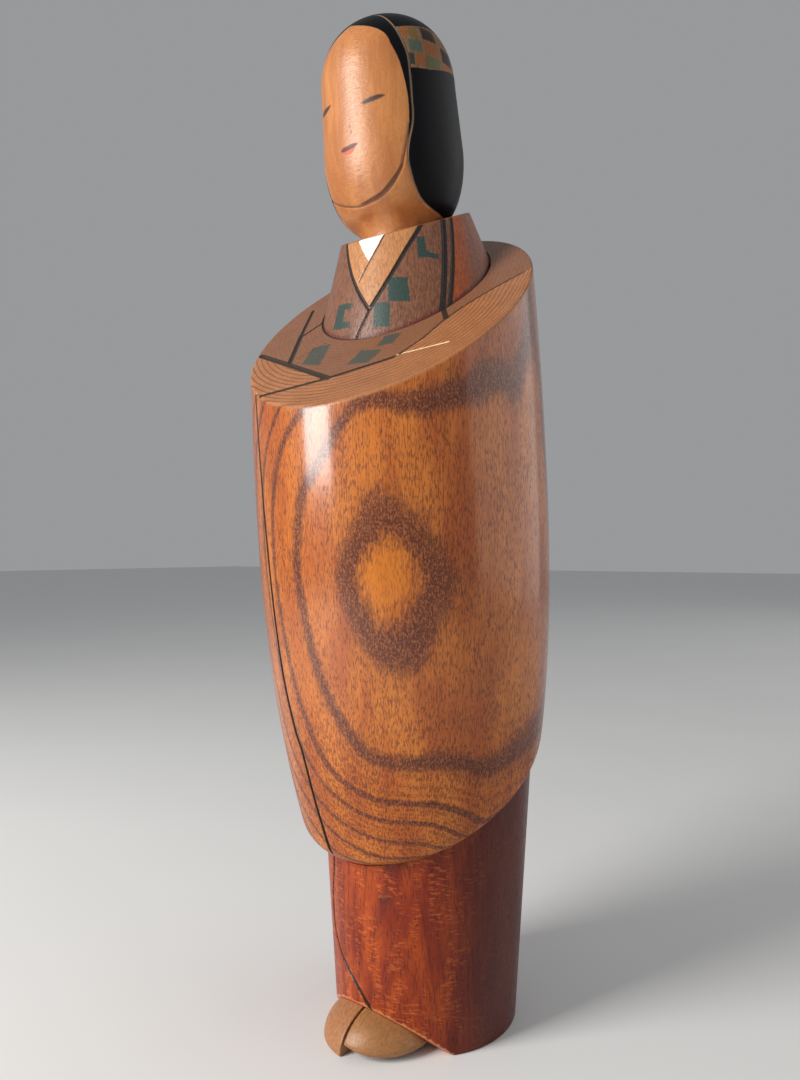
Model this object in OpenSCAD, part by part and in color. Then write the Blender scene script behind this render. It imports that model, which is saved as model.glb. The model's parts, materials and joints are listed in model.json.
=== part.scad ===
// Turned wooden doll standing in a wide mantle.
// Origin at the centre of the base on the table, +Z up, -Y the way the collar opens.
// Angles called turn are measured from the front (-Y), positive towards the doll's left (+X).

/* [Skirt] */
// Radius of the skirt at the table
skirt_foot_r = 29.6; // [26:0.2:34]
// Radius of the skirt at the waist joint
skirt_waist_r = 34.4; // [31:0.2:38]
// Height of the waist joint on the skirt's axis
waist_z = 75.8; // [66:0.2:82]
// Slope of the waist joint from level, lowest near the front
waist_tilt = 31.8; // [20:0.5:36]
// Turn of the waist joint's lowest point
waist_turn = -17; // [-25:1:25]
// Radius of the tenon that stands up into the mantle
waist_tenon_r = 20; // [12:0.5:22]
// Length of the tenon above the waist joint
waist_tenon_l = 44.2; // [30:0.2:54]

/* [Hem and feet] */
// Slope of the hem's cut from level, rising to the front
hem_tilt = 41.8; // [35:0.2:50]
// Distance from the axis to where the hem leaves the table
hem_reach = 17.4; // [15:0.2:22]
// Turn of the hem's highest point
hem_turn = -6.7; // [-12:0.1:12]
// Radius of the turned dome that the two feet are split from
foot_dome_r = 18.2; // [16:0.1:23]
// Height of that dome
foot_dome_h = 12.2; // [9:0.1:16]
// Squareness of the dome's shoulder, 2 is an ellipse
foot_dome_power = 2.1; // [2:0.1:3]
// Distance from the axis to the dome's centre
feet_reach = 21.8; // [20:0.1:25]
// Turn of the split between the feet
feet_turn = -8.5; // [-12:0.5:12]
// Gap between the feet
feet_gap = 0.8; // [0.4:0.1:2]
// Height by which the left foot's inner edge is lifted off the table
left_foot_lift = 4.8; // [0:0.5:6]

/* [Mantle] */
// Greatest radius of the mantle
mantle_r = 48.7; // [45:0.1:54]
// Height of the greatest radius above the waist joint
mantle_belly_h = 111.2; // [90:0.2:130]
// How much the radius shrinks at low_span below the belly
mantle_low_drop = 8.2; // [4:0.1:11]
// How sharply that shrinking gathers near the bottom
mantle_low_power = 2.6; // [2:0.1:3]
// How much the radius shrinks at high_span above the belly
mantle_high_drop = 3.0; // [1:0.1:6]
// Lean of the mantle from upright
mantle_lean = 2.75; // [0:0.05:4]
// Turn of that lean
mantle_lean_turn = -57; // [-90:1:90]
// Place of the mantle's axis at lean_drop below the waist joint
mantle_at = [-2.6, -1.7]; // [-4:0.1:0]
// Height of the sloping top above the waist joint, on the mantle's axis
mantle_h = 157.2; // [140:0.2:170]
// Slope of the top from level, lowest at the front
mantle_top_tilt = 39.8; // [30:0.2:42]
// Turn of the top's lowest point
mantle_top_turn = 3.5; // [-10:0.5:10]
// Radius of the rounding round the mantle's lower edge
mantle_edge_r = 10; // [5:0.5:11]
// How far that rounded edge stays inside the mantle's barrel, along the waist joint
mantle_edge_inset = 1; // [0:0.1:2.5]
// Shift of the rounded edge up the waist joint's slope
mantle_edge_shift = 3; // [0:0.5:6]

/* [Collar] */
// Radius of the collar at the neck's base point
collar_r = 23.4; // [22:0.1:27]
// Growth of the collar's radius per mm downwards
collar_flare = 0.326; // [0.25:0.01:0.36]
// Slope of the collar's rim from level, lowest at the front
rim_tilt = 25.4; // [18:0.2:28]
// Height of the rim on the neck's axis, above the mantle's sloping top
collar_h = 34; // [29:0.5:40]
// Place of the collar's centre beside the neck's axis
collar_shift = [2, 2.9]; // [1:0.1:4]
// Depth of the recess in the mantle that the collar is set in
recess_d = 1.5; // [0.5:0.1:3]
// Gap round the collar in that recess
recess_gap = 0.3; // [0.1:0.1:1]
// Radius of the plug below the collar
plug_r = 18; // [15:0.5:21]
// Length of the plug below the neck's base point
plug_l = 62; // [58:1:68]

/* [Head] */
// Place of the neck's axis at the height of the rim
neck_at = [-16.4, 8.9]; // [-18:0.1:11]
// Lean of the neck's axis from upright
neck_lean = 6.1; // [0:0.1:8]
// Turn of that lean
neck_lean_turn = -19.6; // [-45:0.1:45]
// Radius of the neck
neck_r = 13; // [11:0.1:14]
// Greatest radius of the head, at the jaw
head_r = 24.9; // [22:0.1:26.5]
// Radius of the head where the crown begins
crown_r = 23.9; // [21:0.1:26]
// Height of the jaw's curve
jaw_h = 24; // [22:0.5:30]
// Height of the nearly straight side above the jaw
side_h = 22; // [16:0.5:28]
// Height of the crown's dome
crown_h = 25; // [20:0.5:30]
// Squareness of the crown's shoulder, 2 is an ellipse
crown_power = 2.4; // [2:0.1:2.8]
// Radius of the tenon below the neck
tenon_r = 9; // [7:0.1:9.6]
// Length of the tenon below the neck's base point
tenon_l = 40; // [34:1:46]
// Running clearance between the tenon and its bore
tenon_clear = 0.05; // [0.02:0.01:0.1]
// Gap between the head and the dished collar
head_gap = 0.5; // [0.3:0.1:1]

/* [Hidden] */
$fn = 96;
// Steps of a curved outline
steps = 12;
// Glue clearance round a fixed tenon
glue_clear = 0.05;
// Half the side of a block that cuts off all beyond a plane
far = 400;
// Spans below and above the belly over which the mantle's drops are measured
low_span = 110;
high_span = 90;
// Drop below the waist joint to where the mantle's axis is placed
lean_drop = 12.8;
// Drop of the dish's floor and of the plug's root below the neck's base point
neck_drop = 8;
plug_root = 20;
// Gap under the tenon's end
tenon_end_gap = 1;
skirt_taper = (skirt_waist_r - skirt_foot_r) / waist_z;
lean_z = waist_z - lean_drop;
mantle_belly_z = waist_z + mantle_belly_h;
mantle_top_z = waist_z + mantle_h;
rim_z = mantle_top_z + collar_h;
waist_tenon_top = waist_z + waist_tenon_l;
// The barrel's ends before it is cut, well past the waist joint and the sloping top
barrel_bottom = waist_z / 4;
barrel_top = mantle_top_z + 1.4 * mantle_r;

// Direction on the table at a turn from the front
function toward(turn) = [sin(turn), -cos(turn)];

// Radius of the mantle's barrel at a height along its own axis
function barrel_r(z) =
    let (d = z - mantle_belly_z)
    d < 0 ? mantle_r - mantle_low_drop * pow(-d / low_span, mantle_low_power)
          : mantle_r - mantle_high_drop * pow(d / high_span, 2);

// Outline of the head from the crown down to the neck, in radius and height, grown by g
function head_outline(g) = concat(
    [for (i = [0:steps])
        let (a = 90 * i / steps)
        [(crown_r + g) * pow(sin(a), 2 / crown_power),
         jaw_h + side_h + (crown_h + g) * pow(cos(a), 2 / crown_power)]],
    [for (i = [0:steps])
        let (a = 90 * i / steps)
        [neck_r + g + (head_r - neck_r) * cos(a), jaw_h * (1 - sin(a))]]);

// Moves its children into the mantle's own frame
module mantle_frame() {
    translate([mantle_at[0], mantle_at[1], lean_z])
        rotate([0, 0, mantle_lean_turn])
            rotate([mantle_lean, 0, 0])
                rotate([0, 0, -mantle_lean_turn])
                    translate([0, 0, -lean_z])
                        children();
}

// Moves its children into the neck's own frame, with z = 0 at the neck's base point
module neck_frame() {
    translate([neck_at[0], neck_at[1], rim_z])
        rotate([0, 0, neck_lean_turn])
            rotate([neck_lean, 0, 0])
                rotate([0, 0, -neck_lean_turn])
                    children();
}

// All that lies above a plane through p that falls by a tilt towards a turn
module above(p, turn, tilt) {
    translate(p) rotate([0, 0, turn]) rotate([tilt, 0, 0])
        translate([-far, -far, 0]) cube([2 * far, 2 * far, far]);
}

// All that lies above the mantle's sloping top, sunk by d square to it
module above_mantle_top(d = 0) {
    reach = (mantle_top_z - lean_z) * tan(mantle_lean);
    p = mantle_at + reach * toward(mantle_lean_turn);
    translate([p[0], p[1], mantle_top_z])
        rotate([0, 0, mantle_top_turn]) rotate([mantle_top_tilt, 0, 0])
            translate([-far, -far, -d]) cube([2 * far, 2 * far, far]);
}

module above_waist() {
    above([0, 0, waist_z], waist_turn, waist_tilt);
}

module above_hem() {
    d = hem_reach * toward(hem_turn);
    above([d[0], d[1], 0], hem_turn, -hem_tilt);
}

module above_rim() {
    above([neck_at[0], neck_at[1], rim_z], 0, rim_tilt);
}

// The skirt's turned cone with its tenon
module skirt() {
    color([0.55, 0.2, 0.08])
    intersection() {
        union() {
            difference() {
                cylinder(h = 2 * waist_z, r1 = skirt_foot_r,
                         r2 = skirt_foot_r + 2 * waist_z * skirt_taper);
                above_waist();
            }
            translate([0, 0, waist_z / 2])
                cylinder(h = waist_tenon_top - waist_z / 2, r = waist_tenon_r);
        }
        above_hem();
    }
}

// The turned dome that both feet are split from
module foot_dome() {
    c = feet_reach * toward(feet_turn);
    translate([c[0], c[1], 0])
        rotate_extrude()
            polygon(concat([[0, 0]], [for (i = [0:steps])
                let (a = 90 * i / steps)
                [foot_dome_r * pow(cos(a), 2 / foot_dome_power),
                 foot_dome_h * pow(sin(a), 2 / foot_dome_power)]]));
}

// One foot: side is -1 for the doll's right, 1 for the doll's left
module foot(side) {
    difference() {
        foot_dome();
        above_hem();
        rotate([0, 0, feet_turn])
            translate([side > 0 ? -far + feet_gap / 2 : -feet_gap / 2, -far, -far / 2])
                cube([far, 2 * far, far]);
    }
}

module right_foot() {
    color([0.8, 0.58, 0.36]) foot(-1);
}

module left_foot() {
    lift_angle = atan(left_foot_lift / foot_dome_r);
    color([0.8, 0.58, 0.36])
    difference() {
        foot(1);
        rotate([0, 0, feet_turn]) translate([0, 0, left_foot_lift])
            rotate([0, lift_angle, 0])
                translate([-far / 2, -far, -far]) cube([far, 2 * far, far]);
    }
}

// Outer shape of the mantle without its sockets
module mantle_body() {
    n = 3 * steps;
    difference() {
        mantle_frame()
            rotate_extrude()
                polygon(concat([[0, barrel_bottom]],
                    [for (i = [0:n])
                        let (z = barrel_bottom + (barrel_top - barrel_bottom) * i / n)
                        [barrel_r(z), z]],
                    [[0, barrel_top]]));
        above_mantle_top();
    }
}

// Block with a rounded lower edge that trims the mantle's bottom along the waist joint
module waist_trim() {
    r = barrel_r(waist_z) / cos(waist_tilt) - mantle_edge_inset;
    e = mantle_edge_r;
    translate([0, 0, waist_z]) rotate([0, 0, waist_turn]) rotate([waist_tilt, 0, 0])
        translate([0, mantle_edge_shift, 0])
            rotate_extrude()
                polygon(concat([[0, 0]],
                    [for (i = [0:steps])
                        let (a = 90 * i / steps)
                        [r - e + e * sin(a), e - e * cos(a)]],
                    [[r + far, e + far], [0, e + far]]));
}

module mantle() {
    color([0.78, 0.47, 0.22])
    difference() {
        intersection() {
            mantle_body();
            waist_trim();
        }
        cylinder(h = waist_tenon_top, r = waist_tenon_r + glue_clear);
        collar_socket();
    }
}

// Cone of the collar, grown by g, above the recess floor
module collar_cone(g = 0) {
    up = collar_r;
    down = 2 * collar_h;
    neck_frame() translate([collar_shift[0], collar_shift[1], -down])
        cylinder(h = down + up, r1 = collar_r + g + collar_flare * down,
                 r2 = collar_r + g - collar_flare * up);
}

// Room in the mantle for the collar and its plug
module collar_socket() {
    intersection() {
        collar_cone(recess_gap);
        above_mantle_top(recess_d);
    }
    neck_frame() translate([0, 0, -plug_l])
        cylinder(h = plug_l, r = plug_r + glue_clear);
}

module collar() {
    color([0.45, 0.3, 0.22])
    difference() {
        union() {
            intersection() {
                collar_cone();
                above_mantle_top(recess_d);
            }
            neck_frame() translate([0, 0, -plug_l])
                cylinder(h = plug_l - plug_root, r = plug_r);
        }
        above_rim();
        neck_frame()
            rotate_extrude()
                polygon(concat(head_outline(head_gap),
                    [[neck_r + head_gap, -neck_drop], [0, -neck_drop]]));
        neck_frame() translate([0, 0, -tenon_l - tenon_end_gap])
            cylinder(h = tenon_l, r = tenon_r + tenon_clear);
    }
}

module head() {
    color([0.82, 0.55, 0.3])
    neck_frame() {
        rotate_extrude()
            polygon(concat(head_outline(0),
                [[neck_r, head_gap - neck_drop], [0, head_gap - neck_drop]]));
        translate([0, 0, -tenon_l])
            cylinder(h = tenon_l, r = tenon_r);
    }
}

skirt();
right_foot();
left_foot();
mantle();
collar();
head();
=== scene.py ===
import json
import math

import bmesh
import bpy
import numpy as np
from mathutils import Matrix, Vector


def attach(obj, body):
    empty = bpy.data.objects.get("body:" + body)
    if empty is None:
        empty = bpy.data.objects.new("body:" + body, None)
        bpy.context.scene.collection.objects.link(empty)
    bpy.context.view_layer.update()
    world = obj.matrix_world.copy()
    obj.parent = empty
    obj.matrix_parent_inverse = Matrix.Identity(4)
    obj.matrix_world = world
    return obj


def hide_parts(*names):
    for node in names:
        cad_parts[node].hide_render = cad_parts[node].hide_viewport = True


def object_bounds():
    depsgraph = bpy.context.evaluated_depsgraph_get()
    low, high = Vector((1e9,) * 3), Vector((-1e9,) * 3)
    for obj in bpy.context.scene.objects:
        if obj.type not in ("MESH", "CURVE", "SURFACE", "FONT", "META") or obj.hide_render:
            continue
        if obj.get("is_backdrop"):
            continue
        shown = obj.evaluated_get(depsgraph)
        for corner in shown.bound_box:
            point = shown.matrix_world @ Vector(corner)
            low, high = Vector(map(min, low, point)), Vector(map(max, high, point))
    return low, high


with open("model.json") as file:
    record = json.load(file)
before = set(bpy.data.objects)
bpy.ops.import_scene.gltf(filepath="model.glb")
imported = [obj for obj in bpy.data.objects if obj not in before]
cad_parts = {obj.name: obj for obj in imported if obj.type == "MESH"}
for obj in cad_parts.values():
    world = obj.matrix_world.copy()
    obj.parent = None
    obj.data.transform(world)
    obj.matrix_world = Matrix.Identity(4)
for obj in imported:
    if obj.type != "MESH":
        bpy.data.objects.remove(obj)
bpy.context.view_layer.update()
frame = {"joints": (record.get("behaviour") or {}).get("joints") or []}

# Looks of the turned wooden doll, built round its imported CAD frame.
# Meshes are worked out in mm and stored in metres. Angles are in degrees. A "turn" is measured
# round an upright axis from the front (-Y), positive towards the doll's left (+X).
# Colours of three whole numbers are 8-bit screen colours.
MM = 0.001

# ---------------------------------------------------------------- sizes, as the CAD model has them
# The left foot is the exception: its lift is 4.8 in the CAD, and its base edge isn't rounded there
SKIRT_FOOT_R = 29.6
SKIRT_WAIST_R = 34.4
WAIST_Z = 75.8
WAIST_TILT = 31.8
WAIST_TURN = -17
WAIST_TENON_R = 20
WAIST_TENON_TOP = 120
HEM_TILT = 41.8
HEM_REACH = 17.4
HEM_TURN = -6.7
FOOT_R = 18.2
FOOT_H = 12.2
FOOT_POWER = 2.1
FEET_REACH = 21.8
FEET_TURN = -8.5
FEET_GAP = 0.8
LEFT_FOOT_LIFT = 3.8
LEFT_FOOT_ROUND = 4.5
MANTLE_R = 48.7
BELLY_Z = 187
LOW_DROP = 8.2
LOW_SPAN = 110
LOW_POWER = 2.6
HIGH_DROP = 3.0
HIGH_SPAN = 90
MANTLE_LEAN = 2.75
MANTLE_LEAN_TURN = -57
MANTLE_AT = (-2.6, -1.7)
MANTLE_AT_Z = 63
TOP_Z = 233
TOP_TILT = 39.8
TOP_TURN = 3.5
EDGE_R = 10
EDGE_INSET = 1
EDGE_SHIFT = 3
COLLAR_R = 23.4
COLLAR_FLARE = 0.326
COLLAR_SHIFT = (2, 2.9)
RIM_TILT = 25.4
RECESS_D = 1.5
RECESS_GAP = 0.3
PLUG_R = 18
PLUG_L = 62
NECK_R = 13
HEAD_R = 24.9
CROWN_R = 23.9
JAW_H = 24
SIDE_H = 22
CROWN_H = 25
CROWN_POWER = 2.4
NECK_DROP = 8
TENON_R = 9
TENON_L = 40
HEAD_GAP = 0.5
BORE_CLEAR = 0.05
FACE_TURN = -5


# ---------------------------------------------------------------- geometry helpers
def sind(a):
    return np.sin(np.radians(a))


def cosd(a):
    return np.cos(np.radians(a))


def rot_z(a):
    return np.array([[cosd(a), -sind(a), 0], [sind(a), cosd(a), 0], [0, 0, 1]])


def rot_x(a):
    return np.array([[1, 0, 0], [0, cosd(a), -sind(a)], [0, sind(a), cosd(a)]])


def smooth(low, high, x):
    """0 below low, 1 above high, with a smooth step between."""
    t = np.clip((x - low) / (high - low), 0, 1)
    return t * t * (3 - 2 * t)


class Place:
    """A local frame: an origin in mm and a rotation whose columns are its axes."""

    def __init__(self, origin, matrix):
        self.origin = np.array(origin, float)
        self.matrix = np.array(matrix, float)

    def out(self, p):
        return p @ self.matrix.T + self.origin

    def into(self, p):
        return (p - self.origin) @ self.matrix


def leaning(origin, turn, lean):
    return Place(origin, rot_z(turn) @ rot_x(lean) @ rot_z(-turn))


def sloping(origin, turn, tilt):
    return Place(origin, rot_z(turn) @ rot_x(tilt))


def neck_place():
    """The head joint's own frame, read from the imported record."""
    joint = frame["joints"][0]
    x, y, z = joint["axis"]
    turn = math.degrees(math.atan2(x, -y))
    lean = math.degrees(math.acos(z))
    return leaning(np.array(joint["pos_m"]) / MM, turn, lean)


def mantle_place():
    place = leaning((*MANTLE_AT, MANTLE_AT_Z), MANTLE_LEAN_TURN, MANTLE_LEAN)
    place.origin = place.out(np.array([0, 0, -MANTLE_AT_Z]))
    return place


def top_place():
    reach = (TOP_Z - MANTLE_AT_Z) * np.tan(np.radians(MANTLE_LEAN))
    x = MANTLE_AT[0] + reach * sind(MANTLE_LEAN_TURN)
    y = MANTLE_AT[1] - reach * cosd(MANTLE_LEAN_TURN)
    return sloping((x, y, TOP_Z), TOP_TURN, TOP_TILT)


def waist_place():
    return sloping((0, 0, WAIST_Z), WAIST_TURN, WAIST_TILT)


def hem_place():
    return sloping((HEM_REACH * sind(HEM_TURN), -HEM_REACH * cosd(HEM_TURN), 0), HEM_TURN, -HEM_TILT)


NECK = neck_place()
MANTLE = mantle_place()
TOP = top_place()
WAIST = waist_place()
HEM = hem_place()
RIM = sloping(NECK.origin, 0, RIM_TILT)


def polar(radius, turn, height):
    """Points at a radius, turn and height round the local z axis."""
    radius, turn, height = np.broadcast_arrays(radius, turn, height)
    return np.stack([radius * sind(turn), -radius * cosd(turn), height * 1.0], axis=-1)


def turn_of(p):
    return np.degrees(np.arctan2(p[..., 0], -p[..., 1]))


def reach_of(q):
    return np.hypot(q[..., 0], q[..., 1])


def height_on(place, p):
    """Height in mm of a place's plane straight above or below points."""
    n = place.matrix[:, 2]
    x, y, z = place.origin
    return z - ((p[:, 0] - x) * n[0] + (p[:, 1] - y) * n[1]) / n[2]


def solve(f, low, high):
    """Where f crosses zero between low and high, one value a column; f is negative at low."""
    for _ in range(40):
        middle = (low + high) / 2
        inside = f(middle) < 0
        low = np.where(inside, middle, low)
        high = np.where(inside, high, middle)
    return (low + high) / 2


def between(a, b, shares):
    """Rows on the straight way from row a to row b."""
    return [a + (b - a) * s for s in shares]


def steps(count, start=0.0, end=1.0):
    """count shares from start to end, without the end itself."""
    return [start + (end - start) * i / count for i in range(count)]


def round_corner(rows, i, reach):
    """Replaces the rows within reach of row i by a smooth curve that cuts the corner."""
    a, b, c = rows[i - reach], rows[i], rows[i + reach]
    for m in range(1, 2 * reach):
        t = m / (2 * reach)
        rows[i - reach + m] = (1 - t) ** 2 * a + 2 * t * (1 - t) * b + t ** 2 * c


def curve(points, count=8):
    """A smooth curve through given points, with count steps from one to the next."""
    p = np.array(points, float)
    p = np.vstack([2 * p[0] - p[1], p, 2 * p[-1] - p[-2]])
    out = []
    for i in range(1, len(p) - 2):
        for s in range(count):
            t = s / count
            out.append(0.5 * (2 * p[i] + (p[i + 1] - p[i - 1]) * t
                              + (2 * p[i - 1] - 5 * p[i] + 4 * p[i + 1] - p[i + 2]) * t ** 2
                              + (3 * p[i] - p[i - 1] - 3 * p[i + 1] + p[i + 2]) * t ** 3))
    out.append(p[-2])
    return np.array(out)


# Distances to lines are measured up to this
FAR = 8.0


def line_distance(p, line):
    """Distance in mm from points p to a polyline, up to FAR."""
    best = np.full(len(p), FAR)
    low = line.min(0) - FAR
    high = line.max(0) + FAR
    near = np.flatnonzero(((p > low) & (p < high)).all(1))
    q = p[near]
    found = np.full(len(q), FAR)
    for a, b in zip(line[:-1], line[1:]):
        ab = b - a
        t = np.clip(((q - a) @ ab) / max(ab @ ab, 1e-9), 0, 1)
        np.minimum(found, np.linalg.norm(q - a - t[:, None] * ab, axis=1), out=found)
    best[near] = found
    return best


def inside_outline(q, outline):
    """Whether 2-D points q lie inside a closed outline."""
    hit = np.zeros(len(q), bool)
    x, y = q[:, 0], q[:, 1]
    for (x0, y0), (x1, y1) in zip(outline, np.roll(outline, -1, axis=0)):
        if y0 == y1:
            continue
        crosses = (y0 > y) != (y1 > y)
        hit ^= crosses & (x < (x1 - x0) * (y - y0) / (y1 - y0) + x0)
    return hit


class Chart:
    """A surface with 2-D coordinates: flat(p) gives them for points, solid(q) gives the points."""

    def __init__(self, flat, solid):
        self.flat = flat
        self.solid = solid

    def line(self, p, points, count=8):
        """Distance from p to the smooth curve through points on the chart."""
        return line_distance(p, self.solid(curve(points, count)))

    def area(self, p, points, rounded=False):
        """Signed distance to a closed outline on the chart, negative inside."""
        outline = np.array(points, float)
        loop = curve(np.vstack([outline, outline[:1]]), 8 if rounded else 4)
        if not rounded:
            ends = np.vstack([outline, outline[:1]])
            loop = np.vstack([a + (b - a) * s for a, b in zip(ends[:-1], ends[1:])
                              for s in (0, 0.25, 0.5, 0.75)] + [ends[-1:]])
        d = line_distance(p, self.solid(loop))
        return np.where(inside_outline(self.flat(p), loop[:-1]), -d, d)


def union(*distances):
    return np.minimum.reduce(distances)


# ---------------------------------------------------------------- the turned profiles
def barrel_r(z):
    d = z - BELLY_Z
    low = MANTLE_R - LOW_DROP * np.abs(d / LOW_SPAN) ** LOW_POWER
    high = MANTLE_R - HIGH_DROP * (d / HIGH_SPAN) ** 2
    return np.where(d < 0, low, high)


# Where the neck curves out into the jaw: heights and radii along a smooth fillet
FILLET_S = np.linspace(0, 1, 41)
FILLET_T = -6 * (1 - FILLET_S) ** 2 - 2.98 * FILLET_S * (1 - FILLET_S) + 1.39 * FILLET_S ** 2
FILLET_R = NECK_R + 4 * FILLET_S ** 2


def head_r(t, grown=0.0):
    """Radius of the head at a height above the neck's base point."""
    jaw = NECK_R + (HEAD_R - NECK_R) * np.sqrt(np.clip(1 - (1 - t / JAW_H) ** 2, 0, 1))
    jaw = np.where(t < FILLET_T[-1], np.interp(t, FILLET_T, FILLET_R), jaw)
    side = HEAD_R + (CROWN_R - HEAD_R) * (t - JAW_H) / SIDE_H
    q = np.clip((t - JAW_H - SIDE_H) / (CROWN_H + grown), 0, 1)
    crown = (CROWN_R + grown) * np.clip(1 - q ** CROWN_POWER, 0, 1) ** (1 / CROWN_POWER) - grown
    r = np.where(t < JAW_H, jaw, np.where(t < JAW_H + SIDE_H, side, crown))
    return r + grown


def collar_r(t):
    return COLLAR_R - COLLAR_FLARE * t


def skirt_r(z):
    return SKIRT_FOOT_R + (SKIRT_WAIST_R - SKIRT_FOOT_R) * z / WAIST_Z


BESIDE_NECK = np.array([*COLLAR_SHIFT, 0])


def turned_chart(place, radius, beside=(0, 0, 0), start=0):
    """Turn from a start, and height, on a surface turned round an axis beside a place's own."""
    beside = np.array(beside)

    def flat(p):
        q = place.into(p) - beside
        turn = turn_of(q)
        if start:
            turn = (turn - start + 180) % 360 - 180
        return np.stack([turn, q[:, 2]], axis=1)

    def solid(q):
        return place.out(polar(radius(q[:, 1]), q[:, 0] + start, q[:, 1]) + beside)
    return Chart(flat, solid)


def top_solid(q):
    return TOP.out(np.column_stack([q, np.zeros(len(q))]))


UPRIGHT = Place((0, 0, 0), np.eye(3))
HEAD_CHART = turned_chart(NECK, head_r, start=FACE_TURN)
COLLAR_CHART = turned_chart(NECK, collar_r, BESIDE_NECK)
SIDE_CHART = turned_chart(MANTLE, barrel_r)
SKIRT_CHART = turned_chart(UPRIGHT, skirt_r)
# Sideways and up-slope distance on the mantle's sloping top
TOP_CHART = Chart(lambda p: TOP.into(p)[:, :2], top_solid)


# ---------------------------------------------------------------- meshes
def ordered(rows):
    """The points of a lofted mesh in order, and its counts of rows and columns between the two ends."""
    first = rows[0].mean(0, keepdims=True)
    last = rows[-1].mean(0, keepdims=True)
    body = np.stack(rows[1:-1])
    return np.vstack([first, body.reshape(-1, 3), last]), body.shape[0], body.shape[1]


def lofted(name, points, count, columns):
    """A closed mesh through rows of points, with a single point at each end."""
    i = np.arange(columns)
    j = (i + 1) % columns
    faces = [np.column_stack([np.zeros(columns, int), 1 + j, 1 + i]).tolist()]
    for r in range(count - 1):
        a = 1 + r * columns
        faces.append(np.column_stack([a + i, a + j, a + columns + j, a + columns + i]).tolist())
    a = 1 + (count - 1) * columns
    end = np.full(columns, len(points) - 1)
    faces.append(np.column_stack([a + i, a + j, end]).tolist())
    mesh = bpy.data.meshes.new(name)
    mesh.from_pydata((points * MM).tolist(), [], [f for group in faces for f in group])
    if signed_volume(mesh) < 0:
        mesh.flip_normals()
    piece = bpy.data.objects.new(name, mesh)
    bpy.context.scene.collection.objects.link(piece)
    return piece


def signed_volume(mesh):
    bm = bmesh.new()
    bm.from_mesh(mesh)
    volume = bm.calc_volume(signed=True)
    bm.free()
    return volume


def set_attributes(piece, **values):
    """Stores one number a point under each name."""
    for name, value in values.items():
        a = piece.data.attributes.new(name, "FLOAT", "POINT")
        a.data.foreach_set("value", np.asarray(value, np.float32))


def set_colours(piece, name, values):
    a = piece.data.attributes.new(name, "FLOAT_COLOR", "POINT")
    a.data.foreach_set("color", np.asarray(values, np.float32).ravel())


def close_doubles(piece, sharp=40):
    """Joins points that coincide, then shades the piece smooth with crisp corners."""
    bm = bmesh.new()
    bm.from_mesh(piece.data)
    bmesh.ops.remove_doubles(bm, verts=bm.verts, dist=0.004 * MM)
    bmesh.ops.dissolve_degenerate(bm, edges=bm.edges, dist=0.002 * MM)
    bm.to_mesh(piece.data)
    bm.free()
    piece.data.shade_smooth()
    piece.data.set_sharp_from_angle(angle=math.radians(sharp))


def finish_piece(piece, look, body, node):
    close_doubles(piece)
    piece.data.materials.clear()
    piece.data.materials.append(look)
    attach(piece, body)
    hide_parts(node)


def groove(distance, half_width, depth):
    """Depth of a rounded groove at a distance from its middle line."""
    return depth * np.clip(1 - (distance / half_width) ** 2, 0, 1) ** 0.8


def grooves(chart, p, cuts):
    """Depth of the deepest groove at points; cuts are (line, half width, depth)."""
    return np.maximum.reduce([groove(chart.line(p, line), w, d) for line, w, d in cuts])


def inked(chart, p, lines):
    """Distance to painted lines, negative inside; lines are (line, half width)."""
    return union(*(chart.line(p, line) - half for line, half in lines))


def sunk(p, depth, place, beside=(0, 0, 0)):
    """Points moved in by a depth towards an axis beside a place's own."""
    q = place.into(p) - np.array(beside)
    outward = q * [1, 1, 0] / np.maximum(reach_of(q), 1)[:, None]
    return p - (outward @ place.matrix.T) * depth[:, None]


# The incised line down the mantle's front: (turn, height)
MANTLE_LINE = [(-32.6, 214), (-32.5, 201), (-30.6, 182), (-27.9, 154), (-26.6, 133), (-25, 113),
               (-21.9, 98), (-19.2, 91.5), (-16.7, 75.8), (-13.4, 58.7), (-12, 48)]
# Lines cut into the mantle's sloping top: (sideways, up-slope) and half width
TOP_THICK = [(-43, -21.8), (-24, -33), (-2.1, -46)]
TOP_EDGE = [(-24, -52.6), (-2.5, -45.9), (16.7, -37.4)]
TOP_THIN = [(16.7, -37.4), (22, -27), (25.5, -14), (33, 1), (43, 14.7)]
TOP_TAPER = [(-25, -31.8), (-33, -9), (-40, 12.8)]
TOP_BRANCH = [(-31.9, -9.9), (-28.2, -0.1)]
TOP_GAP = [(17.4, -35.6), (32.8, -31.5)]


def line_turn(z):
    line = curve(MANTLE_LINE)
    order = np.argsort(line[:, 1])
    return np.interp(z, line[order, 1], line[order, 0])


def mantle_turns():
    """Base turns of the mantle's columns, crowded beside its incised line at turn 0."""
    close = np.array([0, 0.16, 0.32, 0.5, 0.75, 1.1, 1.6, 2.2])
    spread = np.linspace(2.8, 180, 262)
    half = np.concatenate([close, spread[:-1]])
    return np.sort(np.concatenate([-half[1:], half, [180]]))


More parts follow.
